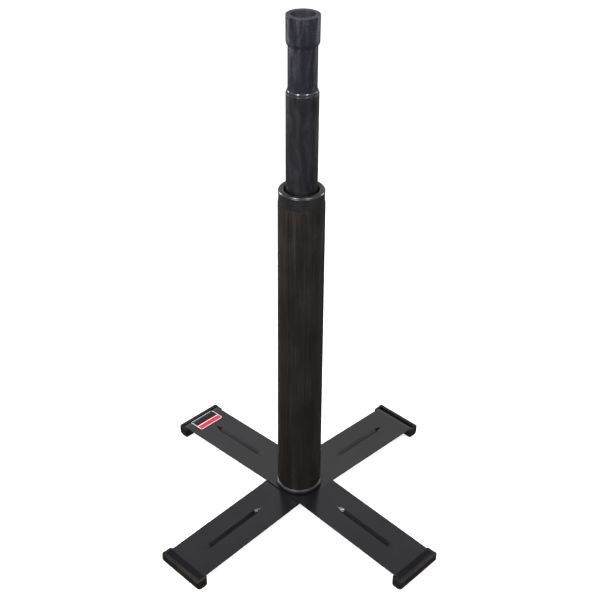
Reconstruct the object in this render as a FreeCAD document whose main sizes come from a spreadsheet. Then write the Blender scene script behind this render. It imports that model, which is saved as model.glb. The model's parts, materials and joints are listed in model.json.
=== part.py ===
import FreeCAD, Part
import math
import os
import re
import Sketcher
from FreeCAD import Placement, Rotation, Vector

# A batting tee: a cross of two pressed steel strips on four rubber feet carries an upright in
# three stages. A long moulded tube stands on the cross, a mid tube slides in it, and a rubber
# top with the ball cup slides in the mid tube.
#
# Millimetres, +Z up, origin on the floor on the axis of the upright. The upper strip runs
# along X and the lower strip along Y.

# Driving dimensions. Heights are above the floor, reaches and radii are from the axis, and the
# sliding stages are at the height that they are stored at.
SIZES = {
    # base strips
    "strip_width": 76.2,
    "strip_gauge": 2.0,
    "hub_top": 30.5,
    "hub_half_length": 40.0,
    "arm_slope": 0.05,
    "end_reach": 240.2,
    "end_slope": 0.24,
    "end_bend": 5.0,
    "arm_reach": 251.0,
    "flange_lower_edge": 6.0,
    "flange_bend": 3.2,
    # groove pressed into each arm to stiffen it
    "swage_start": 86.0,
    "swage_end": 206.0,
    "swage_taper": 12.0,
    "swage_width": 9.0,
    "swage_depth": 2.4,
    "swage_tip_depth": 0.3,
    # rubber feet
    "foot_inner_reach": 237.0,
    "foot_outer_reach": 256.8,
    "foot_length": 85.5,
    "foot_height": 19.2,
    "foot_plate_height": 18.0,
    "foot_inner_wall": 17.9,
    "foot_bend_relief": 1.8,
    "foot_outer_round": 8.5,
    "foot_inner_round": 5.0,
    "foot_end_round": 3.5,
    "foot_rim_round": 1.0,
    "foot_side_gap": 0.2,
    # socket on the hub
    "bead_radius": 4.5,
    "bead_reach": 37.0,
    "spigot_radius": 30.45,
    "spigot_wall": 4.0,
    "spigot_top": 110.0,
    "spigot_lead": 1.5,
    "socket_floor": 6.0,
    "boss_radius": 13.0,
    "pillar_radius": 4.0,
    # fasteners of the hub
    "bolt_radius": 5.0,
    "bolt_hole": 5.5,
    "bolt_length": 25.0,
    "bolt_head": 6.4,
    "hexagon": 17.0,
    "nut_height": 8.0,
    "nut_pocket_gap": 0.2,
    "washer_radius": 12.0,
    "washer_gauge": 1.6,
    "screw_offset": 15.0,
    "screw_radius": 2.1,
    "screw_hole": 2.6,
    "screw_depth": 10.0,
    "screw_head_radius": 4.6,
    "screw_head": 3.2,
    "screw_head_round": 1.6,
    # lower tube
    "tube_top": 544.5,
    "tube_foot_radius": 35.1,
    "tube_top_radius": 33.3,
    "tube_bore": 30.5,
    "panel_count": 6,
    "panel_angle": 46.0,
    "panel_turn": 4.57,
    "panel_top_margin": 3.0,
    "panel_foot_margin": 25.0,
    "panel_top_depth": 0.9,
    "panel_foot_depth": 0.3,
    # collar
    "collar_radius": 32.4,
    "collar_bead": 4.6,
    "collar_bead_height": 561.5,
    "collar_bore": 23.6,
    "collar_sleeve_radius": 30.45,
    "collar_sleeve_foot": 494.0,
    "grip_groove_radius": 26.6,
    "grip_groove_foot": 520.0,
    "grip_groove_height": 12.0,
    "grip_nose": 3.0,
    "grip_gap": 0.08,
    # mid tube and the bush on its lower end
    "mid_radius": 22.15,
    "mid_bore": 20.7,
    "mid_top": 704.0,
    "mid_foot": 244.0,
    "mid_top_round": 1.2,
    "guide_radius": 30.2,
    "guide_waist": 26.5,
    "guide_height": 64.0,
    "guide_land": 10.0,
    "guide_lip": 4.0,
    # bush in the top of the mid tube
    "neck_grip_height": 34.0,
    "neck_grip_gap": 0.08,
    "lip_radius": 21.0,
    "lip_height": 3.8,
    "lip_round": 1.0,
    # rubber top
    "neck_radius": 19.6,
    "neck_bore": 14.5,
    "neck_foot": 613.7,
    "cup_foot": 766.0,
    "cup_shoulder": 771.5,
    "cup_shoulder_round": 7.5,
    "cup_radius": 22.05,
    "rim_radius": 22.3,
    "rim_height": 805.5,
    "rim_round": 0.7,
    "cup_bore": 16.4,
    "cup_depth": 12.0,
    # bush in the foot of the neck
    "stop_radius": 20.4,
    "stop_flange": 5.0,
    "stop_plug": 22.0,
    "stop_lead": 1.0,
    "stop_bore": 10.0,
    # label on one arm
    "label_start": 217.0,
    "label_end": 247.6,
    "label_width": 49.0,
    "label_gauge": 0.3,
    "label_corner": 3.5,
}

document = FreeCAD.newDocument("BattingTee")
sheet = document.addObject("Spreadsheet::Sheet", "Sizes")
for row, (alias, value) in enumerate(SIZES.items(), 1):
    sheet.set(f"A{row}", alias)
    sheet.set(f"B{row}", str(value))
    sheet.setAlias(f"B{row}", alias)
document.recompute()


# Helpers: a rule is an expression in the sheet's own words.

def bound(rule):
    """The expression for a rule, with each size named as the sheet's."""
    return re.sub(r"[a-z_]+", lambda word: "Sizes." + word[0] if word[0] in SIZES else word[0], rule)


def size(rule):
    """The present value of a rule."""
    return float(sheet.evalExpression(rule))


def new_body(label, turn=0.0, height="0"):
    """A body on the upright's axis, turned about it and raised by a rule."""
    body = document.addObject("PartDesign::Body", label)
    body.Label = label
    body.Placement = Placement(Vector(0, 0, size(height)), Rotation(Vector(0, 0, 1), turn))
    body.setExpression("Placement.Base.z", bound(height))
    return body


def new_sketch(body, name, role, height=None):
    """A sketch on one of the body's own planes, or at a height above it."""
    sketch = body.newObject("Sketcher::SketchObject", name)
    plane = next(item for item in body.Origin.OriginFeatures if item.Role == role)
    sketch.AttachmentSupport = (plane, "")
    sketch.MapMode = "FlatFace"
    if height:
        sketch.setExpression("AttachmentOffset.Base.z", bound(height))
    return sketch


def bind(sketch, constraint, rule):
    """Add a dimension to the sketch and let the rule drive it."""
    index = sketch.addConstraint(constraint)
    sketch.setExpression(f"Constraints[{index}]", bound(rule))


def outline(sketch, corners):
    """Draw a closed outline anticlockwise through corners given as (x rule, y rule).

    A third item is the radius of an arc, bulging outwards, from that corner to the next one.
    """
    points = [Vector(size(corner[0]), size(corner[1]), 0) for corner in corners]
    first = sketch.GeometryCount
    count = len(corners)
    for number, corner in enumerate(corners):
        start = points[number]
        end = points[(number + 1) % count]
        if len(corner) == 2:
            sketch.addGeometry(Part.LineSegment(start, end))
            continue
        chord = end - start
        radius = size(corner[2])
        rise = math.sqrt(radius**2 - chord.Length**2 / 4)
        centre = (start + end) / 2 + Vector(-chord.y, chord.x, 0).normalize() * rise
        whole = Part.Circle(centre, Vector(0, 0, 1), radius)
        from_angle = math.atan2(start.y - centre.y, start.x - centre.x)
        to_angle = math.atan2(end.y - centre.y, end.x - centre.x)
        sketch.addGeometry(Part.ArcOfCircle(whole, from_angle, to_angle))
    for number, corner in enumerate(corners):
        edge = first + number
        following = first + (number + 1) % count
        sketch.addConstraint(Sketcher.Constraint("Coincident", edge, 2, following, 1))
        place = points[number]
        bind(sketch, Sketcher.Constraint("DistanceX", -1, 1, edge, 1, place.x), corner[0])
        bind(sketch, Sketcher.Constraint("DistanceY", -1, 1, edge, 1, place.y), corner[1])
        if len(corner) == 3:
            bind(sketch, Sketcher.Constraint("Radius", edge, size(corner[2])), corner[2])


def circle(sketch, x_rule, y_rule, radius_rule):
    """Draw a circle at a place given by rules."""
    centre = Vector(size(x_rule), size(y_rule), 0)
    edge = sketch.addGeometry(Part.Circle(centre, Vector(0, 0, 1), size(radius_rule)))
    bind(sketch, Sketcher.Constraint("DistanceX", -1, 1, edge, 3, centre.x), x_rule)
    bind(sketch, Sketcher.Constraint("DistanceY", -1, 1, edge, 3, centre.y), y_rule)
    bind(sketch, Sketcher.Constraint("Radius", edge, size(radius_rule)), radius_rule)


def hexagon(sketch, across):
    """Draw a hexagon about the axis, across its flats along X."""
    half = f"({across}) / 2"
    low = f"({across}) / sqrt(12)"
    high = f"({across}) / sqrt(3)"
    outline(sketch, [
        (half, "-" + low),
        (half, low),
        ("0", high),
        ("-" + half, low),
        ("-" + half, "-" + low),
        ("0", "-" + high),
    ])


def turned(body, corners, cut=False, angle="360"):
    """Turn a half section (radius, height) about the axis, to add material or to cut it away."""
    kind = "Groove" if cut else "Revolution"
    sketch = new_sketch(body, kind + "Section", "XZ_Plane")
    outline(sketch, corners)
    feature = body.newObject("PartDesign::" + kind, kind)
    feature.Profile = sketch
    feature.ReferenceAxis = (sketch, ["V_Axis"])
    feature.Midplane = True
    feature.setExpression("Angle", bound(angle))
    return feature


def across(body, outlines, width, cut=False):
    """Pad or pocket side outlines (reach, height) by a width centred on the XZ plane."""
    kind = "Pocket" if cut else "Pad"
    sketch = new_sketch(body, kind + "Outline", "XZ_Plane")
    for corners in outlines:
        outline(sketch, corners)
    feature = body.newObject("PartDesign::" + kind, kind)
    feature.Profile = sketch
    feature.SideType = "Symmetric"
    feature.setExpression("Length", bound(width))
    return feature


def upright(body, sketch, length, cut=False, upwards=True):
    """Pad or pocket a plan sketch by a length, upwards or downwards."""
    kind = "Pocket" if cut else "Pad"
    feature = body.newObject("PartDesign::" + kind, kind)
    feature.Profile = sketch
    feature.setExpression("Length", bound(length))
    feature.Reversed = upwards if cut else not upwards
    return feature


def rounded(body, feature, radius, chosen):
    """Round the edges of the feature that the test chooses."""
    document.recompute()
    names = [f"Edge{number}" for number, edge in enumerate(feature.Shape.Edges, 1) if chosen(edge)]
    fillet = body.newObject("PartDesign::Fillet", "Round")
    fillet.Base = (feature, names)
    fillet.setExpression("Radius", bound(radius))
    return fillet


def near(value, rule, tolerance=0.01):
    """Whether a coordinate is where the rule says."""
    return abs(value - size(rule)) < tolerance


def is_upright(edge):
    """Whether the edge is a straight line parallel to the axis."""
    if edge.Curve.TypeId != "Part::GeomLine":
        return False
    return abs(edge.tangentAt(edge.FirstParameter).z) > 0.999


def is_level_across(edge):
    """Whether the edge is a straight line along the body's Y."""
    if edge.Curve.TypeId != "Part::GeomLine":
        return False
    return abs(edge.tangentAt(edge.FirstParameter).y) > 0.999


# Base strips

def arm_top(reach):
    """Height of an arm's upper face at a reach from the axis."""
    return f"hub_top - arm_slope * ({reach} - hub_half_length)"


def mirrored(half):
    """The other half of an outline that is symmetrical about the axis."""
    return [("-(" + x_rule + ")", z_rule) for x_rule, z_rule in reversed(half)]


def end_top(reach):
    """Height of the upper face beyond the arm's end, where the strip dips before its flange."""
    return f"{arm_top('end_reach')} - end_slope * ({reach} - end_reach)"


def strip_half():
    """One half of a strip's side outline, from the middle's lower face round to its upper face."""
    return [
        ("hub_half_length", "hub_top - strip_gauge"),
        ("end_reach", arm_top("end_reach") + " - strip_gauge"),
        ("arm_reach - strip_gauge", end_top("arm_reach - strip_gauge") + " - strip_gauge"),
        ("arm_reach - strip_gauge", "flange_lower_edge"),
        ("arm_reach", "flange_lower_edge"),
        ("arm_reach", end_top("arm_reach")),
        ("end_reach", arm_top("end_reach")),
        ("hub_half_length", "hub_top"),
    ]


def swage_loft(body, sign, cut=False):
    """A V with tapered ends along one arm: the groove, or the metal that it pushes out below."""
    kind = "Subtractive" if cut else "Additive"
    slope = "swage_width / 2 / swage_depth"
    sections = []
    for reach, depth in (
        ("swage_start", "swage_tip_depth"),
        ("swage_start + swage_taper", "swage_depth"),
        ("swage_end - swage_taper", "swage_depth"),
        ("swage_end", "swage_tip_depth"),
    ):
        low = f"-({depth})" if cut else f"-({depth}) - 1.15 * strip_gauge"
        high = "strip_gauge" if cut else "-strip_gauge / 2"
        half = f"({high} - ({low})) * {slope}"
        section = new_sketch(body, kind + "Section", "YZ_Plane", f"{sign}({reach})")
        outline(section, [
            ("0", f"{arm_top(reach)} + {low}"),
            (half, f"{arm_top(reach)} + {high}"),
            (f"-({half})", f"{arm_top(reach)} + {high}"),
        ])
        sections.append(section)
    loft = body.newObject(f"PartDesign::{kind}Loft", kind + "Swage")
    loft.Profile = sections[0]
    loft.Sections = sections[1:]
    loft.Ruled = True
    return loft


def make_strip(label, turn, height):
    body = new_body(label, turn, height)
    half = strip_half()
    sheet_pad = across(body, [half + mirrored(half)], "strip_width")

    def outside_bend(edge):
        middle = edge.CenterOfMass
        at_flange = near(abs(middle.x), "arm_reach") and middle.z > size("flange_lower_edge + strip_gauge")
        return is_level_across(edge) and at_flange

    def inside_bend(edge):
        middle = edge.CenterOfMass
        inside = near(abs(middle.x), "arm_reach - strip_gauge")
        return is_level_across(edge) and inside and middle.z > size("flange_lower_edge + strip_gauge")

    def arm_end(edge):
        return is_level_across(edge) and near(abs(edge.CenterOfMass.x), "end_reach")

    bent = rounded(body, sheet_pad, "flange_bend", outside_bend)
    bent = rounded(body, bent, "flange_bend - strip_gauge", inside_bend)
    rounded(body, bent, "end_bend", arm_end)

    for sign in ("", "-"):
        swage_loft(body, sign)
    for sign in ("", "-"):
        swage_loft(body, sign, cut=True)

    # holes for the centre bolt and the four hub screws, through the level middle
    holes = new_sketch(body, "HubHoles", "XY_Plane")
    circle(holes, "0", "0", "bolt_hole")
    for x_sign in ("", "-"):
        for y_sign in ("", "-"):
            circle(holes, x_sign + "screw_offset", y_sign + "screw_offset", "screw_hole")
    upright(body, holes, "2 * hub_top", cut=True)
    return body


strips = [
    make_strip("upper_base_strip", 0.0, "0"),
    make_strip("lower_base_strip", 90.0, "-strip_gauge"),
]


# Rubber feet: a block with a slot for the flange, closed at both ends by plates. The lower
# strip's flanges reach further down, so its two feet have a deeper slot.

def make_foot(label, turn, drop):
    body = new_body(label, turn)
    block = across(body, [[
        ("foot_inner_reach", "0"),
        ("foot_outer_reach", "0"),
        ("foot_outer_reach", "foot_height"),
        ("foot_inner_reach", "foot_height"),
    ]], "foot_length")

    def sole_edge(reach):
        return lambda edge: (is_level_across(edge) and near(edge.CenterOfMass.z, "0")
                             and near(edge.CenterOfMass.x, reach))

    def end_edge(edge):
        return is_upright(edge) and near(abs(edge.CenterOfMass.y), "foot_length / 2")

    soft = rounded(body, block, "foot_outer_round", sole_edge("foot_outer_reach"))
    soft = rounded(body, soft, "foot_inner_round", sole_edge("foot_inner_reach"))
    rounded(body, soft, "foot_end_round", end_edge)
    across(body, [[
        ("foot_inner_reach - strip_gauge", "foot_plate_height"),
        ("arm_reach", "foot_plate_height"),
        ("arm_reach", "foot_height + strip_gauge"),
        ("foot_inner_reach - strip_gauge", "foot_height + strip_gauge"),
    ]], "foot_length + 2 * strip_gauge", cut=True)
    inner_top = f"foot_inner_wall - {drop}"
    bend_start = "arm_reach - strip_gauge - foot_bend_relief"
    bend_top = f"{inner_top} - end_slope * ({bend_start} - end_reach)"
    slot = across(body, [[
        ("foot_inner_reach - strip_gauge", inner_top),
        ("end_reach", inner_top),
        (bend_start, bend_top),
        ("arm_reach - strip_gauge", bend_top + " - foot_bend_relief"),
        ("arm_reach - strip_gauge", f"flange_lower_edge - {drop}"),
        ("arm_reach", f"flange_lower_edge - {drop}"),
        ("arm_reach", "foot_height + strip_gauge"),
        ("foot_inner_reach - strip_gauge", "foot_height + strip_gauge"),
    ]], "strip_width + 2 * foot_side_gap", cut=True)

    def rim_edge(edge):
        middle = edge.CenterOfMass
        outermost = near(middle.x, "foot_outer_reach") and near(middle.z, "foot_height")
        return is_level_across(edge) and outermost

    rounded(body, slot, "foot_rim_round", rim_edge)
    return body


FOOT_TURNS = {
    "foot_front_right": 0.0,
    "foot_rear_right": 90.0,
    "foot_rear_left": 180.0,
    "foot_front_left": 270.0,
}
UPPER_STRIP_FEET = ("foot_front_right", "foot_rear_left")
feet = []
for label, turn in FOOT_TURNS.items():
    slot_drop = "0" if label in UPPER_STRIP_FEET else "strip_gauge"
    feet.append(make_foot(label, turn, slot_drop))


# Socket: a rounded flange on the hub, and a hollow spigot that the lower tube is pressed onto

FLANGE_TOP = "hub_top + 2 * bead_radius"
FLOOR_TOP = "hub_top + socket_floor"
BOSS_TOP = "hub_top + socket_floor + nut_height"


def make_socket():
    body = new_body("base_socket")
    turned(body, [
        ("bolt_hole", "hub_top"),
        ("bead_reach - bead_radius", "hub_top", "bead_radius"),
        ("bead_reach", "hub_top + bead_radius", "bead_radius"),
        ("bead_reach - bead_radius", FLANGE_TOP),
        ("spigot_radius", FLANGE_TOP),
        ("spigot_radius", "spigot_top - spigot_lead"),
        ("spigot_radius - spigot_lead", "spigot_top"),
        ("spigot_radius - spigot_wall", "spigot_top"),
        ("spigot_radius - spigot_wall", FLOOR_TOP),
        ("boss_radius", FLOOR_TOP),
        ("boss_radius", BOSS_TOP),
        ("bolt_hole", BOSS_TOP),
    ])
    pillars = new_sketch(body, "PillarPlan", "XY_Plane", FLOOR_TOP + " - 1")
    pilots = new_sketch(body, "PilotPlan", "XY_Plane", "hub_top")
    for x_sign in ("", "-"):
        for y_sign in ("", "-"):
            place = (x_sign + "screw_offset", y_sign + "screw_offset")
            circle(pillars, *place, "pillar_radius")
            circle(pilots, *place, "screw_radius")
    upright(body, pillars, "nut_height + 1")
    upright(body, pilots, "screw_depth + 1", cut=True)
    nut_plan = new_sketch(body, "NutPocketPlan", "XY_Plane", BOSS_TOP)
    hexagon(nut_plan, "hexagon + nut_pocket_gap")
    upright(body, nut_plan, "nut_height", cut=True, upwards=False)
    return body


socket = make_socket()


# Fasteners of the hub, put in from below

UNDERSIDE = "hub_top - 2 * strip_gauge"
WASHER_FOOT = UNDERSIDE + " - washer_gauge"


def make_washer():
    body = new_body("bolt_washer")
    turned(body, [
        ("bolt_hole", WASHER_FOOT),
        ("washer_radius", WASHER_FOOT),
        ("washer_radius", UNDERSIDE),
        ("bolt_hole", UNDERSIDE),
    ])
    return body


def make_bolt():
    body = new_body("centre_bolt")
    turned(body, [
        ("0", WASHER_FOOT + " - 1"),
        ("bolt_radius", WASHER_FOOT + " - 1"),
        ("bolt_radius", WASHER_FOOT + " + bolt_length - 1"),
        ("bolt_radius - 1", WASHER_FOOT + " + bolt_length"),
        ("0", WASHER_FOOT + " + bolt_length"),
    ])
    head = new_sketch(body, "HeadPlan", "XY_Plane", WASHER_FOOT + " - bolt_head")
    hexagon(head, "hexagon")
    upright(body, head, "bolt_head")
    return body


def make_nut():
    body = new_body("centre_nut")
    plan = new_sketch(body, "NutPlan", "XY_Plane", FLOOR_TOP)
    hexagon(plan, "hexagon")
    circle(plan, "0", "0", "bolt_radius")
    upright(body, plan, "nut_height")
    return body


def make_screws():
    """Four pan-head screws, one in each quarter, as separate solids of one group."""
    body = new_body("hub_screws")
    body.AllowCompound = True
    screw = turned(body, [
        ("0", UNDERSIDE + " - screw_head"),
        ("screw_head_radius - screw_head_round", UNDERSIDE + " - screw_head", "screw_head_round"),
        ("screw_head_radius", UNDERSIDE + " - screw_head + screw_head_round"),
        ("screw_head_radius", UNDERSIDE),
        ("screw_radius", UNDERSIDE),
        ("screw_radius", "hub_top + screw_depth - screw_radius"),
        ("0", "hub_top + screw_depth"),
    ])
    section = screw.Profile[0]
    section.setExpression("AttachmentOffset.Base.x", bound("screw_offset"))
    section.setExpression("AttachmentOffset.Base.z", bound("screw_offset"))
    document.recompute()
    pattern = body.newObject("PartDesign::PolarPattern", "FourScrews")
    pattern.Originals = [screw]
    pattern.Axis = (next(item for item in body.Origin.OriginFeatures if item.Role == "Z_Axis"), [""])
    pattern.Angle = 360
    pattern.Occurrences = 4
    body.Tip = pattern
    return body


fasteners = [make_washer(), make_bolt(), make_nut(), make_screws()]


# Lower tube: tapered outside, with six shallow panels that die out towards the foot

TUBE_FOOT = FLANGE_TOP


def tube_radius(height):
    """Outside radius of the lower tube at a height."""
    share = f"(({height}) - ({TUBE_FOOT})) / (tube_top - ({TUBE_FOOT}))"
    return f"tube_foot_radius - (tube_foot_radius - tube_top_radius) * {share}"


def make_lower_tube():
    body = new_body("lower_tube", SIZES["panel_turn"])
    turned(body, [
        ("tube_bore", TUBE_FOOT),
        ("tube_foot_radius", TUBE_FOOT),
        ("tube_top_radius", "tube_top"),
        ("tube_bore", "tube_top"),
    ])
    panel_foot = f"({TUBE_FOOT}) + panel_foot_margin"
    panel_top = "tube_top - panel_top_margin"
    outside = "tube_foot_radius + 1"
    panel = turned(body, [
        (tube_radius(panel_foot) + " - panel_foot_depth", panel_foot),
        (outside, panel_foot),
        (outside, panel_top),
        (tube_radius(panel_top) + " - panel_top_depth", panel_top),
    ], cut=True, angle="panel_angle")
    document.recompute()
    pattern = body.newObject("PartDesign::PolarPattern", "Panels")
    pattern.Originals = [panel]
    pattern.Axis = (next(item for item in body.Origin.OriginFeatures if item.Role == "Z_Axis"), [""])
    pattern.Angle = 360
    pattern.setExpression("Occurrences", bound("panel_count"))
    body.Tip = pattern
    return body


lower_tube = make_lower_tube()


# Collar: a cap with a fat rounded rim and a sleeve inside the tube, holding the grip ring

GRIP_TOP = "grip_groove_foot + grip_groove_height"


def make_collar():
    body = new_body("collar")
    bead_middle = "collar_bore + collar_bead"
    band_top = "collar_bead_height - sqrt(collar_bead^2 - (collar_radius - collar_bore - collar_bead)^2)"
    turned(body, [
        ("collar_bore", "collar_sleeve_foot"),
        ("collar_sleeve_radius", "collar_sleeve_foot"),
        ("collar_sleeve_radius", "tube_top"),
        ("collar_radius", "tube_top"),
        ("collar_radius", band_top, "collar_bead"),
        (bead_middle, "collar_bead_height + collar_bead", "collar_bead"),
        ("collar_bore", "collar_bead_height"),
        ("collar_bore", GRIP_TOP),
        ("grip_groove_radius", GRIP_TOP),
        ("grip_groove_radius", "grip_groove_foot"),
        ("collar_bore", "grip_groove_foot"),
    ])
    return body


def make_grip_ring():
    body = new_body("tube_grip_ring")
    nose = "mid_radius + grip_gap"
    turned(body, [
        ("collar_bore", "grip_groove_foot"),
        ("grip_groove_radius", "grip_groove_foot"),
        ("grip_groove_radius", GRIP_TOP),
        ("collar_bore", GRIP_TOP),
        (nose, GRIP_TOP + " - grip_nose"),
        (nose, "grip_groove_foot + grip_nose"),
    ])
    return body


collar_parts = [make_collar(), make_grip_ring()]


# Mid tube and its bushes

def make_mid_tube():
    body = new_body("mid_tube")
    turned(body, [
        ("mid_bore", "mid_foot"),
        ("mid_radius", "mid_foot"),
        ("mid_radius", "mid_top - mid_top_round", "mid_top_round"),
        ("mid_radius - mid_top_round", "mid_top"),
        ("mid_bore", "mid_top"),
    ])
    return body


def make_guide_bush():
    """A spool round the tube's foot, that runs in the lower tube's bore."""
    body = new_body("mid_guide_bush")
    foot = "mid_foot - guide_lip"
    top = foot + " + guide_height"
    step = "(guide_radius - guide_waist) / 2"
    turned(body, [
        ("mid_bore", foot),
        ("guide_radius", foot),
        ("guide_radius", f"{foot} + guide_land"),
        ("guide_waist", f"{foot} + guide_land + {step}"),
        ("guide_waist", f"{top} - guide_land - {step}"),
        ("guide_radius", f"{top} - guide_land"),
        ("guide_radius", top),
        ("mid_radius", top),
        ("mid_radius", "mid_foot"),
        ("mid_bore", "mid_foot"),
    ])
    return body


def make_neck_grip_bush():
    """A thin sleeve in the tube's mouth, with a lip that stands up round the neck."""
    body = new_body("neck_grip_bush")
    bore = "neck_radius + neck_grip_gap"
    turned(body, [
        (bore, "mid_top - neck_grip_height"),
        ("mid_bore", "mid_top - neck_grip_height"),
        ("mid_bore", "mid_top"),
        ("lip_radius", "mid_top"),
        ("lip_radius", "mid_top + lip_height - lip_round", "lip_round"),
        ("lip_radius - lip_round", "mid_top + lip_height"),
        (bore, "mid_top + lip_height"),
    ])
    return body


mid_parts = [make_mid_tube(), make_guide_bush(), make_neck_grip_bush()]


# Rubber top and the bush in its foot

def make_tee_top():
    """Neck and ball cup in one moulding, hollow right through, with a wider seat for the ball."""
    body = new_body("tee_top")
    seat = "rim_height - cup_depth"
    turned(body, [
        ("neck_bore", "neck_foot"),
        ("neck_radius", "neck_foot"),
        ("neck_radius", "cup_foot", "cup_shoulder_round"),
        ("cup_radius", "cup_shoulder"),
        ("rim_radius", "rim_height - rim_round", "rim_round"),
        ("rim_radius - rim_round", "rim_height"),
        ("cup_bore", "rim_height"),
        ("cup_bore", seat),
        ("neck_bore", seat),
    ])
    return body


def make_stop_bush():
    body = new_body("neck_stop_bush")
    plug_top = "neck_foot + stop_plug"
    turned(body, [
        ("stop_bore", "neck_foot - stop_flange"),
        ("stop_radius", "neck_foot - stop_flange"),
        ("stop_radius", "neck_foot"),
        ("neck_bore", "neck_foot"),
        ("neck_bore", f"{plug_top} - stop_lead"),
        ("neck_bore - stop_lead", plug_top),
        ("stop_bore", plug_top),
    ])
    return body


top_parts = [make_tee_top(), make_stop_bush()]


# Label on the arm opposite the front right foot, from its upper face onto the strip's end

def make_label():
    body = new_body("arm_label", FOOT_TURNS["foot_rear_left"])
    across(body, [[
        ("label_start", arm_top("label_start")),
        ("end_reach", arm_top("end_reach")),
        ("label_end", end_top("label_end")),
        ("label_end", end_top("label_end") + " + label_gauge"),
        ("end_reach", arm_top("end_reach") + " + label_gauge"),
        ("label_start", arm_top("label_start") + " + label_gauge"),
    ]], "label_width")

    # the corners: all but a rounded rectangle is cut away
    side = "label_width / 2"
    plan = new_sketch(body, "CornerPlan", "XY_Plane")
    outline(plan, [
        ("label_start - label_corner", f"-{side} - label_corner"),
        ("label_end + label_corner", f"-{side} - label_corner"),
        ("label_end + label_corner", f"{side} + label_corner"),
        ("label_start - label_corner", f"{side} + label_corner"),
    ])
    outline(plan, [
        ("label_start + label_corner", f"-{side}"),
        ("label_end - label_corner", f"-{side}", "label_corner"),
        ("label_end", f"-{side} + label_corner"),
        ("label_end", f"{side} - label_corner", "label_corner"),
        ("label_end - label_corner", side),
        ("label_start + label_corner", side, "label_corner"),
        ("label_start", f"{side} - label_corner"),
        ("label_start", f"-{side} + label_corner", "label_corner"),
    ])
    upright(body, plan, "hub_top", cut=True)
    return body


label_film = make_label()
pieces = [*strips, *feet, socket, *fasteners, lower_tube, *collar_parts, *mid_parts, *top_parts, label_film]


# Recompute, test and write every piece

document.recompute()
for item in document.Objects:
    if "Invalid" in item.State or "Error" in item.State:
        raise RuntimeError(f"{item.Label} did not compute: {item.State}")
os.makedirs("parts", exist_ok=True)
for piece in pieces:
    if piece.Shape.isNull() or not piece.Shape.isValid():
        raise RuntimeError(f"{piece.Label} has no valid shape")
for piece in pieces:
    piece.Shape.exportStep(f"parts/{piece.Label}.step")
    print(f"{piece.Label}: {len(piece.Shape.Solids)} solid(s), {piece.Shape.Volume / 1000:.1f} cm3")
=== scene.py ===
import json
import math

import bpy
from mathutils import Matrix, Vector


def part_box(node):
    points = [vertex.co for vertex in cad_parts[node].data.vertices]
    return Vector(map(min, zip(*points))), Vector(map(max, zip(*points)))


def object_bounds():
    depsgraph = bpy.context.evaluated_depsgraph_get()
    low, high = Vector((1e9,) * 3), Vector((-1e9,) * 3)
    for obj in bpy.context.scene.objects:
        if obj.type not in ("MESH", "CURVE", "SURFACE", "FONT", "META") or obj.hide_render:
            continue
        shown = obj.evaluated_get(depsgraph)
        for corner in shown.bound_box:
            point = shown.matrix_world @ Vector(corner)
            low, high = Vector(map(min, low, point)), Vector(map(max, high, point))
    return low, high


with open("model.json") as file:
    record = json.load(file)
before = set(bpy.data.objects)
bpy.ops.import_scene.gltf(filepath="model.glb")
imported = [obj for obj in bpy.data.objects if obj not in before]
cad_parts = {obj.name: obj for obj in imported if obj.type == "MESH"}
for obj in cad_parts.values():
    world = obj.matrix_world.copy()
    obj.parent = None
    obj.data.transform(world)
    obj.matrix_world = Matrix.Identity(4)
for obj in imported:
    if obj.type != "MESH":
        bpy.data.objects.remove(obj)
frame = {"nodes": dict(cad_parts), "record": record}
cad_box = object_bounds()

# Lengths are in metres
MM = 0.001
CENTRE = (cad_box[0] + cad_box[1]) / 2
HEIGHT = cad_box[1].z

# The photograph's view: from between the +X and -Y arms, looking down
VIEW_AZIMUTH = math.radians(44.335)
VIEW_ELEVATION = math.radians(32.957)
VIEW_ROLL = math.radians(0.508)
VIEW_DISTANCE = 1.5034
LOOK_HEIGHT = 0.3828
LENS_MM = 61.69
SENSOR_MM = 36.0
VIEW_SHIFT = -0.0011


# ---------------------------------------------------------------- node helpers

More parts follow.
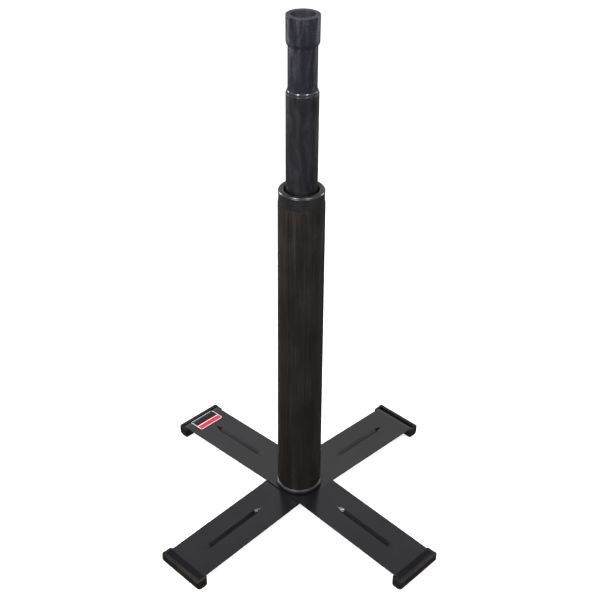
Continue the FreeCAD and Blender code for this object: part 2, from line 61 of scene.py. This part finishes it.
class Material:
    """A principled material under construction, with short calls for its nodes."""

    def __init__(self, name):
        self.data = bpy.data.materials.new(name)
        self.data.use_nodes = True
        self.tree = self.data.node_tree
        self.tree.nodes.clear()
        output = self.tree.nodes.new("ShaderNodeOutputMaterial")
        self.shader = self.node("ShaderNodeBsdfPrincipled")
        self.tree.links.new(self.shader.outputs[0], output.inputs["Surface"])
        self.place = self.node("ShaderNodeTexCoord").outputs["Object"]

    def node(self, kind, **settings):
        made = self.tree.nodes.new(kind)
        for key, value in settings.items():
            setattr(made, key, value)
        return made

    def feed(self, socket, value):
        """Link a socket, or set its value."""
        if isinstance(value, bpy.types.NodeSocket):
            self.tree.links.new(value, socket)
        else:
            socket.default_value = value

    def set(self, **values):
        """Set or link the shader's own sockets."""
        for key, value in values.items():
            self.feed(self.shader.inputs[key.replace("_", " ").title().replace("Ior", "IOR")], value)

    def scaled(self, scale, offset):
        mapping = self.node("ShaderNodeMapping")
        self.feed(mapping.inputs["Vector"], self.place)
        mapping.inputs["Scale"].default_value = scale
        mapping.inputs["Location"].default_value = offset
        return mapping.outputs[0]

    def noise(self, scale, detail=3.0, roughness=0.5, stretch=(1, 1, 1), offset=(0, 0, 0), distortion=0.0):
        """Noise with features about 1 / scale metres across."""
        made = self.node("ShaderNodeTexNoise")
        self.feed(made.inputs["Vector"], self.scaled(stretch, offset))
        made.inputs["Scale"].default_value = scale
        made.inputs["Detail"].default_value = detail
        made.inputs["Roughness"].default_value = roughness
        made.inputs["Distortion"].default_value = distortion
        return made.outputs["Fac"]

    def cells(self, scale):
        """Distance from the middle of the nearest cell, for specks, pits and spangles."""
        made = self.node("ShaderNodeTexVoronoi")
        self.feed(made.inputs["Vector"], self.place)
        made.inputs["Scale"].default_value = scale
        return made.outputs["Distance"]

    def band(self, value, low, high, to_low=0.0, to_high=1.0):
        """Map a value's stretch from low to high onto another, smoothly, and hold it beyond."""
        made = self.node("ShaderNodeMapRange", interpolation_type="SMOOTHSTEP")
        self.feed(made.inputs["Value"], value)
        made.inputs["From Min"].default_value = low
        made.inputs["From Max"].default_value = high
        made.inputs["To Min"].default_value = to_low
        made.inputs["To Max"].default_value = to_high
        return made.outputs[0]

    def maths(self, operation, *values):
        made = self.node("ShaderNodeMath", operation=operation)
        for socket, value in zip(made.inputs, values):
            self.feed(socket, value)
        return made.outputs[0]

    def product(self, first, second):
        return self.maths("MULTIPLY", first, second)

    def axis(self, name):
        """One coordinate of the place, X, Y or Z, in metres."""
        made = self.node("ShaderNodeSeparateXYZ")
        self.feed(made.inputs[0], self.place)
        return made.outputs[name]

    def reach(self):
        """Distance from the upright's axis."""
        squares = [self.maths("POWER", self.axis(name), 2.0) for name in ("X", "Y")]
        return self.maths("SQRT", self.maths("ADD", *squares))

    def blend(self, factor, low, high):
        """Mix two colours, each given as a triple or a socket."""
        made = self.node("ShaderNodeMix", data_type="RGBA")
        self.feed(made.inputs["Factor"], factor)
        self.feed(made.inputs["A"], low if isinstance(low, bpy.types.NodeSocket) else (*low, 1))
        self.feed(made.inputs["B"], high if isinstance(high, bpy.types.NodeSocket) else (*high, 1))
        return made.outputs["Result"]

    def bump(self, *layers):
        """Stack bump layers given as (height socket, depth in metres)."""
        normal = None
        for height, depth in layers:
            made = self.node("ShaderNodeBump")
            made.inputs["Distance"].default_value = depth
            self.feed(made.inputs["Height"], height)
            if normal:
                self.feed(made.inputs["Normal"], normal)
            normal = made.outputs[0]
        self.feed(self.shader.inputs["Normal"], normal)


# ---------------------------------------------------------------- materials

STRIP_HALF_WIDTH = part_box("upper_base_strip")[1].y
RUBBED_EDGE = 0.8 * MM


def powder_coat():
    """Charcoal powder coat on the steel strips: orange peel, handling marks, edges worn paler."""
    coat = Material("strip_coat")
    cloud = coat.noise(14.0, detail=4.0)
    grain = coat.noise(420.0, detail=3.0)
    scuff = coat.noise(38.0, detail=5.0, roughness=0.6)
    speck = coat.cells(650.0)
    across = coat.maths("MINIMUM", *(coat.maths("ABSOLUTE", coat.axis(name)) for name in ("X", "Y")))
    side = coat.band(across, STRIP_HALF_WIDTH - RUBBED_EDGE, STRIP_HALF_WIDTH)
    edge_wear_and_seat_light = coat.product(side, coat.band(scuff, 0.42, 0.62))
    colour = coat.blend(coat.band(cloud, 0.35, 0.65), (0.0022, 0.0020, 0.0030), (0.0042, 0.0040, 0.0054))
    colour = coat.blend(coat.band(scuff, 0.52, 0.74, 0.0, 0.15), colour, (0.0090, 0.0096, 0.0115))
    colour = coat.blend(coat.band(speck, 0.04, 0.12, 0.15, 0.0), colour, (0.015, 0.016, 0.019))
    colour = coat.blend(coat.product(edge_wear_and_seat_light, 0.5), colour, (0.034, 0.035, 0.038))
    duller = coat.band(scuff, 0.45, 0.75, 0.0, 0.02)
    roughness = coat.maths("ADD", coat.band(cloud, 0.3, 0.7, 0.13, 0.17), duller)
    coat.set(base_color=colour, roughness=roughness, specular_ior_level=0.42)
    coat.bump((coat.noise(700.0, detail=2.0), 0.00005), (grain, 0.00004))
    return coat.data


DUST_HEIGHT = 9 * MM


def foot_rubber():
    """Brown-black moulded rubber with a dusty bloom near the floor."""
    rubber = Material("foot_rubber")
    cloud = rubber.noise(45.0, detail=5.0)
    patches = rubber.noise(120.0, detail=5.0, roughness=0.65)
    near_floor = rubber.band(rubber.axis("Z"), 0.0, DUST_HEIGHT, 1.0, 0.0)
    dust = rubber.product(near_floor, rubber.band(patches, 0.40, 0.68))
    pits = rubber.cells(900.0)
    colour = rubber.blend(rubber.band(cloud, 0.35, 0.7), (0.0040, 0.0032, 0.0025), (0.0076, 0.0063, 0.0052))
    colour = rubber.blend(rubber.product(dust, 0.45), colour, (0.060, 0.054, 0.046))
    rubber.set(base_color=colour, roughness=rubber.band(cloud, 0.3, 0.7, 0.36, 0.48), specular_ior_level=0.24)
    rubber.bump((rubber.noise(1500.0, detail=2.0), 0.00008), (rubber.band(pits, 0.0, 0.25), 0.00005))
    return rubber.data


DARK_HEIGHT = 100 * MM
PALE_HEIGHT = 500 * MM


def tube_plastic():
    """Warm black plastic, darker low down, with faint runs and hairline scratches along the tube."""
    plastic = Material("tube_plastic")
    streak = plastic.noise(230.0, detail=4.0, roughness=0.6, stretch=(1.0, 1.0, 0.03))
    broad = plastic.noise(60.0, detail=2.0, stretch=(1.0, 1.0, 0.06))
    cloud = plastic.noise(22.0, detail=4.0)
    hair = plastic.noise(900.0, detail=1.0, stretch=(1.0, 1.0, 0.012), offset=(0.3, 0.1, 0.0))
    shade = plastic.band(cloud, 0.35, 0.65)
    colour = plastic.blend(shade, (0.0040, 0.0031, 0.0025), (0.0066, 0.0054, 0.0045))
    low_down = plastic.band(plastic.axis("Z"), DARK_HEIGHT, PALE_HEIGHT, 0.45, 0.0)
    colour = plastic.blend(low_down, colour, (0.0022, 0.0010, 0.0006))
    colour = plastic.blend(plastic.band(streak, 0.52, 0.72, 0.0, 0.5), colour, (0.0150, 0.0122, 0.0102))
    colour = plastic.blend(plastic.band(hair, 0.66, 0.74, 0.0, 0.35), colour, (0.0300, 0.0265, 0.0230))
    runs = plastic.band(broad, 0.35, 0.65, 0.34, 0.42)
    roughness = plastic.maths("ADD", runs, plastic.band(cloud, 0.3, 0.7, 0.0, 0.06))
    plastic.set(base_color=colour, roughness=roughness, specular_ior_level=0.32)
    plastic.bump((streak, 0.00007), (broad, 0.00012), (plastic.noise(1200.0, detail=2.0), 0.00003))
    return plastic.data


def moulded(name, low, high, gloss=(0.36, 0.46), specular=0.3):
    """Moulded plastic: a colour clouded from low to high, fine grain, and a few light rubs.

    Gloss is the range of roughness.
    """
    plastic = Material(name)
    cloud = plastic.noise(34.0, detail=5.0)
    rub = plastic.noise(130.0, detail=5.0, roughness=0.7)
    colour = plastic.blend(plastic.band(cloud, 0.35, 0.65), low, high)
    paler = tuple(3.0 * part for part in high)
    colour = plastic.blend(plastic.band(rub, 0.60, 0.76, 0.0, 0.4), colour, paler)
    duller = plastic.band(rub, 0.55, 0.75, 0.0, 0.08)
    roughness = plastic.maths("ADD", plastic.band(cloud, 0.3, 0.7, *gloss), duller)
    plastic.set(base_color=colour, roughness=roughness, specular_ior_level=specular)
    plastic.bump((plastic.noise(1200.0, detail=2.0), 0.00004), (cloud, 0.00015))
    return plastic.data


SEAT_RADIUS = 16.6 * MM
SEAT_FADE = 0.6 * MM
# Depths below the rim where each band starts and where it is full: first the painted light inside the cup,
# then the duller rim
SEAT_DEPTHS = (16 * MM, 14 * MM)
CROWN_DEPTHS = (0.9 * MM, 0.4 * MM)


def handled_rubber(name, low, high, gloss, specular, seat=False):
    """Bluish black rubber or rubbery plastic, with a bloom that handling has wiped into upright smudges.

    Gloss is the range of roughness. With a seat, the inside of the cup near the rim is painted paler, as
    painted light on its upper inner wall, and balls have worn its rim duller.
    """
    rubber = Material(name)
    smudge = rubber.noise(46.0, detail=5.0, roughness=0.62, stretch=(1.0, 1.0, 0.30), distortion=0.6)
    bloom = rubber.noise(150.0, detail=4.0, roughness=0.6, stretch=(1.0, 1.0, 0.6))
    speck = rubber.cells(520.0)
    wiped = rubber.product(rubber.band(smudge, 0.40, 0.66), rubber.band(bloom, 0.34, 0.62, 0.45, 1.0))
    colour = rubber.blend(wiped, low, high)
    paler = tuple(2.2 * part for part in high)
    colour = rubber.blend(rubber.band(speck, 0.04, 0.12, 0.35, 0.0), colour, paler)
    roughness = rubber.band(smudge, 0.3, 0.7, *gloss)

    def near_rim(start, full):
        return rubber.band(rubber.axis("Z"), HEIGHT - start, HEIGHT - full)

    if seat:
        within_bore = rubber.band(rubber.reach(), SEAT_RADIUS, SEAT_RADIUS + SEAT_FADE, 1.0, 0.0)
        inside = rubber.product(near_rim(*SEAT_DEPTHS), within_bore)
        # Painted light: the inside of the cup down to about 15 mm below the rim is painted paler, standing in
        # for light on its upper inner wall
        edge_wear_and_seat_light = rubber.product(inside, rubber.band(bloom, 0.3, 0.6, 0.55, 1.0))
        colour = rubber.blend(edge_wear_and_seat_light, colour, (0.034, 0.035, 0.040))
        roughness = rubber.maths("ADD", roughness, rubber.product(near_rim(*CROWN_DEPTHS), 0.34))
    rubber.set(base_color=colour, roughness=roughness, specular_ior_level=specular)
    rubber.bump((rubber.noise(1100.0, detail=2.0), 0.00005), (bloom, 0.00012))
    return rubber.data


def zinc():
    """Zinc plate with small spangles that are paler towards their edges."""
    steel = Material("zinc_steel")
    spangle = steel.cells(480.0)
    cloud = steel.noise(200.0, detail=4.0)
    colour = steel.blend(steel.band(cloud, 0.35, 0.65), (0.36, 0.37, 0.39), (0.60, 0.60, 0.59))
    colour = steel.blend(steel.band(spangle, 0.2, 0.5, 0.0, 0.3), colour, (0.70, 0.69, 0.66))
    steel.set(base_color=colour, metallic=1.0, roughness=steel.band(cloud, 0.3, 0.7, 0.26, 0.44))
    steel.bump((spangle, 0.00004), (cloud, 0.00005))
    return steel.data


LABEL_LOW, LABEL_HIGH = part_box("arm_label")
LABEL_MIDDLE = (LABEL_LOW + LABEL_HIGH) / 2
LABEL_HALF = (LABEL_HIGH - LABEL_LOW) / 2
LABEL_MARGIN = 1.0 * MM
PRINT_EDGE = 0.12 * MM
# (middle along the label, half length) of each bar
RED_BAR = (9.5 * MM, 4.8 * MM)
PALE_BAR = (3.4 * MM, 0.7 * MM)


def label_film():
    """A plain printed label: white margin, charcoal field, a red bar and a thin pale one."""
    film = Material("label_film")
    along = film.maths("SUBTRACT", film.axis("X"), LABEL_MIDDLE.x)
    across = film.axis("Y")

    def within(value, middle, half):
        offset = film.maths("ABSOLUTE", film.maths("SUBTRACT", value, middle))
        return film.band(offset, half - PRINT_EDGE, half + PRINT_EDGE, 1.0, 0.0)

    field = film.product(within(along, 0.0, LABEL_HALF.x - LABEL_MARGIN),
                         within(across, 0.0, LABEL_HALF.y - LABEL_MARGIN))
    red = film.product(field, within(along, *RED_BAR))
    pale = film.product(field, within(along, *PALE_BAR))
    wear = film.noise(260.0, detail=5.0, roughness=0.65)
    colour = film.blend(film.band(wear, 0.3, 0.7), (0.50, 0.50, 0.49), (0.60, 0.60, 0.59))
    colour = film.blend(field, colour, (0.006, 0.006, 0.007))
    colour = film.blend(red, colour, (0.42, 0.020, 0.040))
    colour = film.blend(pale, colour, (0.70, 0.70, 0.70))
    colour = film.blend(film.band(wear, 0.64, 0.74, 0.0, 0.35), colour, (0.45, 0.44, 0.43))
    film.set(base_color=colour, roughness=film.band(wear, 0.3, 0.7, 0.30, 0.42), specular_ior_level=0.12)
    film.bump((film.noise(500.0, detail=3.0), 0.00003))
    return film.data


FINISHES = {
    "strip_coat": powder_coat(),
    "foot_rubber": foot_rubber(),
    "socket_plastic": moulded("socket_plastic", (0.0070, 0.0068, 0.0066), (0.0115, 0.0112, 0.0110)),
    "zinc_steel": zinc(),
    "tube_plastic": tube_plastic(),
    "collar_plastic": moulded("collar_plastic", (0.0042, 0.0041, 0.0041), (0.0076, 0.0074, 0.0076),
                              (0.28, 0.35), 0.32),
    "grip_rubber": moulded("grip_rubber", (0.006, 0.006, 0.006), (0.010, 0.010, 0.010), (0.6, 0.7)),
    "mid_tube_plastic": handled_rubber("mid_tube_plastic", (0.0037, 0.0036, 0.0053), (0.0118, 0.0114, 0.0150),
                                       (0.30, 0.42), 0.24),
    "bush_plastic": moulded("bush_plastic", (0.022, 0.022, 0.022), (0.034, 0.034, 0.034)),
    "lip_rubber": moulded("lip_rubber", (0.0080, 0.0090, 0.0110), (0.0130, 0.0140, 0.0165),
                          (0.12, 0.18), 1.0),
    "top_rubber": handled_rubber("top_rubber", (0.0056, 0.0055, 0.0082), (0.0205, 0.0200, 0.0280),
                                 (0.20, 0.30), 0.34, seat=True),
    "label_film": label_film(),
}

slot_of = {part["node"]: part["material_slot"] for part in frame["record"]["subparts"]}
for node, obj in frame["nodes"].items():
    obj.data.materials.clear()
    obj.data.materials.append(FINISHES[slot_of[node]])


# ---------------------------------------------------------------- floor, light and camera

def direction(azimuth, elevation):
    """The unit vector from the object towards a place at an azimuth and elevation, in radians."""
    flat = math.cos(elevation)
    return Vector((math.sin(azimuth) * flat, -math.cos(azimuth) * flat, math.sin(elevation)))


# (place, brightness) of the world, where the place is (1 + sine of the elevation) / 2. It is dim below
# the horizon, bright from there to about 50 degrees up, brightest near 40 degrees, and dark overhead.
WORLD_LEVELS = (
    (0.0, 0.10),
    (0.47, 0.10),
    (0.50, 0.88),
    (0.78, 0.86),
    (0.83, 1.30),
    (0.862, 0.92),
    (0.887, 0.82),
    (0.905, 0.03),
    (1.0, 0.03),
)
# (name, degrees round from the camera, degrees up, distance, width, height, watts)
LIGHTS = (
    ("rim_left", -117, 9, 1.5, 0.24, 0.36, 19),
    ("rim_right", 115, 9, 1.5, 0.20, 0.36, 11),
    ("key_left", -42, 58, 1.5, 0.18, 0.28, 23),
    ("key_right", 42, 58, 1.5, 0.18, 0.28, 15),
    ("fill_left", -29, 20, 1.1, 0.07, 0.36, 10.0),
    ("fill_right", 29, 20, 1.1, 0.06, 0.36, 4.2),
)
FLOOR_HALF_WIDTH = 40.0


def make_floor():
    """A pale paper sheet, which glossy surfaces don't mirror."""
    half = FLOOR_HALF_WIDTH
    mesh = bpy.data.meshes.new("floor")
    corners = [(-half, -half, 0), (half, -half, 0), (half, half, 0), (-half, half, 0)]
    mesh.from_pydata(corners, [], [(0, 1, 2, 3)])
    floor = bpy.data.objects.new("floor", mesh)
    bpy.context.scene.collection.objects.link(floor)
    paper = Material("floor_paper")
    paper.set(base_color=paper.blend(paper.noise(3.0), (0.52, 0.52, 0.52), (0.54, 0.54, 0.54)), roughness=0.9,
              emission_color=(1.0, 1.0, 1.0, 1.0), emission_strength=0.72)
    mesh.materials.append(paper.data)
    floor.visible_glossy = False


def make_softbox(name, round_from_camera, elevation, distance, width, height, power):
    """A rectangular light facing the object's middle, placed by its angle from the camera's side."""
    middle = Vector((CENTRE.x, CENTRE.y, HEIGHT / 2))
    light = bpy.data.lights.new(name, "AREA")
    light.shape = "RECTANGLE"
    light.size = width
    light.size_y = height
    light.energy = power
    lamp = bpy.data.objects.new(name, light)
    away = direction(VIEW_AZIMUTH + math.radians(round_from_camera), math.radians(elevation))
    lamp.location = middle + away * distance
    lamp.rotation_euler = (-away).to_track_quat("-Z", "Y").to_euler()
    lamp.visible_camera = False
    bpy.context.scene.collection.objects.link(lamp)


def make_world():
    """A backdrop that is bright all round and dark overhead."""
    world = bpy.data.worlds.new("studio")
    world.use_nodes = True
    nodes = world.node_tree.nodes
    links = world.node_tree.links
    rise = nodes.new("ShaderNodeSeparateXYZ")
    links.new(nodes.new("ShaderNodeTexCoord").outputs["Generated"], rise.inputs[0])
    share = nodes.new("ShaderNodeMapRange")
    share.inputs["From Min"].default_value = -1.0
    links.new(rise.outputs["Z"], share.inputs["Value"])
    ramp = nodes.new("ShaderNodeValToRGB")
    links.new(share.outputs[0], ramp.inputs[0])
    stops = ramp.color_ramp.elements
    while len(stops) < len(WORLD_LEVELS):
        stops.new(0.5)
    for stop, (place, level) in zip(stops, WORLD_LEVELS):
        stop.position = place
        stop.color = (level, level, level, 1)
    links.new(ramp.outputs["Color"], nodes["Background"].inputs["Color"])
    bpy.context.scene.world = world


def make_camera():
    """A camera at the photograph's view, tilted about its line of sight by the view's roll."""
    camera = bpy.data.objects.new("camera", bpy.data.cameras.new("camera"))
    camera.data.lens = LENS_MM
    camera.data.sensor_width = SENSOR_MM
    camera.data.shift_x = VIEW_SHIFT
    back = direction(VIEW_AZIMUTH, VIEW_ELEVATION)
    camera.location = Vector((CENTRE.x, CENTRE.y, LOOK_HEIGHT)) + back * VIEW_DISTANCE
    camera.rotation_euler = (-back).to_track_quat("-Z", "Y").to_euler()
    camera.rotation_euler.rotate_axis("Z", VIEW_ROLL)
    bpy.context.scene.collection.objects.link(camera)
    bpy.context.scene.camera = camera


make_floor()
make_world()
for light in LIGHTS:
    make_softbox(*light)
make_camera()
bpy.context.scene.view_settings.view_transform = "Standard"
